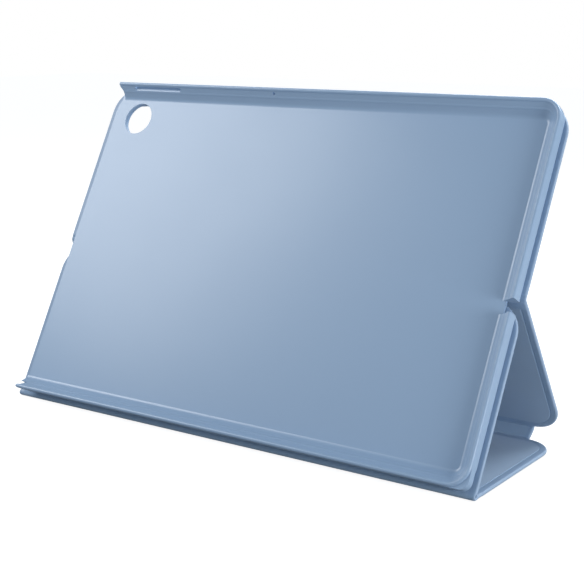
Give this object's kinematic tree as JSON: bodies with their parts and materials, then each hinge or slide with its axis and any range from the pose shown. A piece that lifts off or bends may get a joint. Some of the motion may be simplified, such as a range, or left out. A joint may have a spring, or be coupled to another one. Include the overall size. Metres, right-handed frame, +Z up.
{
  "type": "tablet folio stand case",
  "caption": "Folding tablet case standing as a triangle: a shallow hard tray open on one short side, held up by a creased cover of flap, base and prop panels.",
  "frame": {"origin": "middle of the case's footprint on the table, at table height", "axes": "+X along the long side towards the walled short side, +Y to the back, +Z up; the tray's open face looks towards -Y"},
  "size_m": [0.26, 0.0936, 0.156],
  "materials": {
    "tray_plastic": "satin",
    "cover_skin": "fine-grained matte coated fabric",
    "lining_fabric": "brushed microfibre",
    "board": "raw stiffener board",
    "steel": "plated",
    "adhesive": "matte adhesive film"
  },
  "bodies": {
    "base": {"base_skin": "cover_skin", "base_board": "board", "base_lining": "lining_fabric", "front_crease": "cover_skin", "front_crease_lining": "lining_fabric", "lower_rear_crease": "cover_skin"},
    "spine": {"spine_skin": "cover_skin", "spine_stiffener": "board", "spine_lining": "lining_fabric", "upper_rear_crease": "cover_skin"},
    "flap": {"flap_skin": "cover_skin", "flap_board": "board", "flap_lining": "lining_fabric", "mid_crease": "cover_skin"},
    "tray": {"tray_shell": "tray_plastic", "tray_adhesive": "adhesive", "keeper_plates": "steel", "back_skin": "cover_skin", "back_board": "board"},
    "prop": {"prop_skin": "cover_skin", "prop_board": "board", "prop_lining": "lining_fabric", "prop_magnets": "steel", "wake_magnet": "steel"}
  },
  "joints": [
    {"name": "mid_fold", "type": "hinge", "parent": "flap", "child": "tray", "pos_m": [0, 0.00004, 0.07503], "axis": [1, 0, 0], "range_deg": [0, 60.03]},
    {"name": "lower_rear_fold", "type": "hinge", "parent": "base", "child": "spine", "pos_m": [0, 0.0402, 0.0009], "axis": [-1, 0, 0], "range_deg": [0, 37.75]},
    {"name": "upper_rear_fold", "type": "hinge", "parent": "spine", "child": "flap", "pos_m": [0, 0.04589, 0.0053], "axis": [-1, 0, 0], "range_deg": [0, 84.48]},
    {"name": "front_fold", "type": "hinge", "parent": "base", "child": "prop", "pos_m": [0, -0.03838, 0.00195], "axis": [-1, 0, 0], "range_deg": [0, 61.45]}
  ],
  "couplings": [
    {"joint": "lower_rear_fold", "follows": "mid_fold", "ratio": 0.62803},
    {"joint": "upper_rear_fold", "follows": "mid_fold", "ratio": 1.4065},
    {"joint": "front_fold", "follows": "mid_fold", "ratio": 1.0228}
  ]
}
